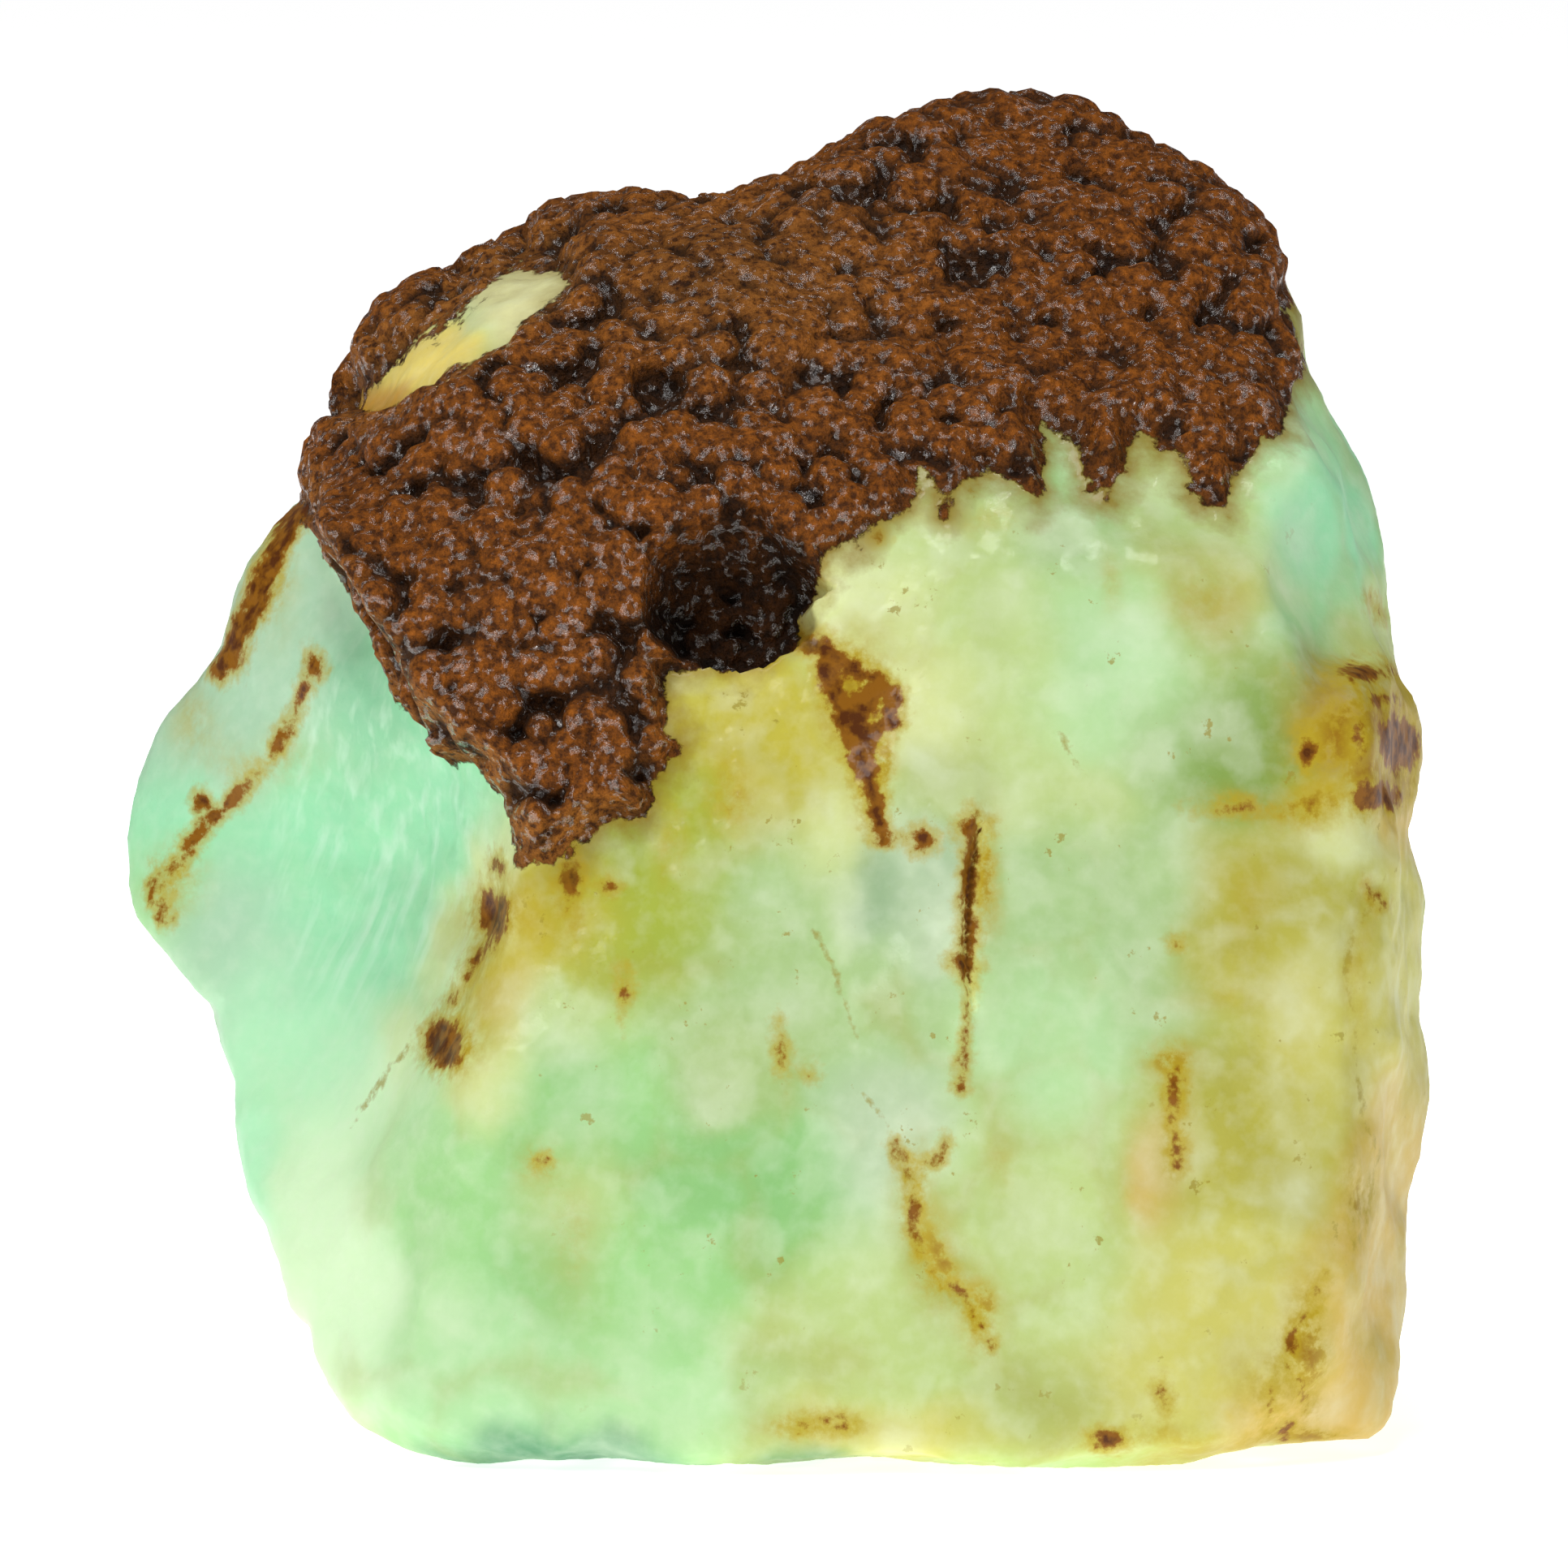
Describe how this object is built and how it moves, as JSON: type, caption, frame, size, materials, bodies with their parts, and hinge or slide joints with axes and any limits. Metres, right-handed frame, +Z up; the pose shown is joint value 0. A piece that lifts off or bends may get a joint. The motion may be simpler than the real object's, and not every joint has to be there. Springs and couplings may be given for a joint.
{
  "type": "raw chrysoprase",
  "caption": "Rough chunk of pale green chrysoprase with a pitted brown weathered crust over its top, standing on a flat broken base.",
  "frame": {"origin": "middle of the bounding box on the flat base that the stone stands on", "axes": "+Z up, +X to the right and -Y towards the viewer in the pictured front view"},
  "size_m": [0.0592, 0.044, 0.0598],
  "materials": {
    "chrysoprase": "broken chalcedony, waxy and slightly translucent, pale green running to cream, with a glossy pitted dark brown iron oxide crust on top"
  },
  "bodies": {
    "root": {"chrysoprase": "chrysoprase"}
  },
  "joints": []
}
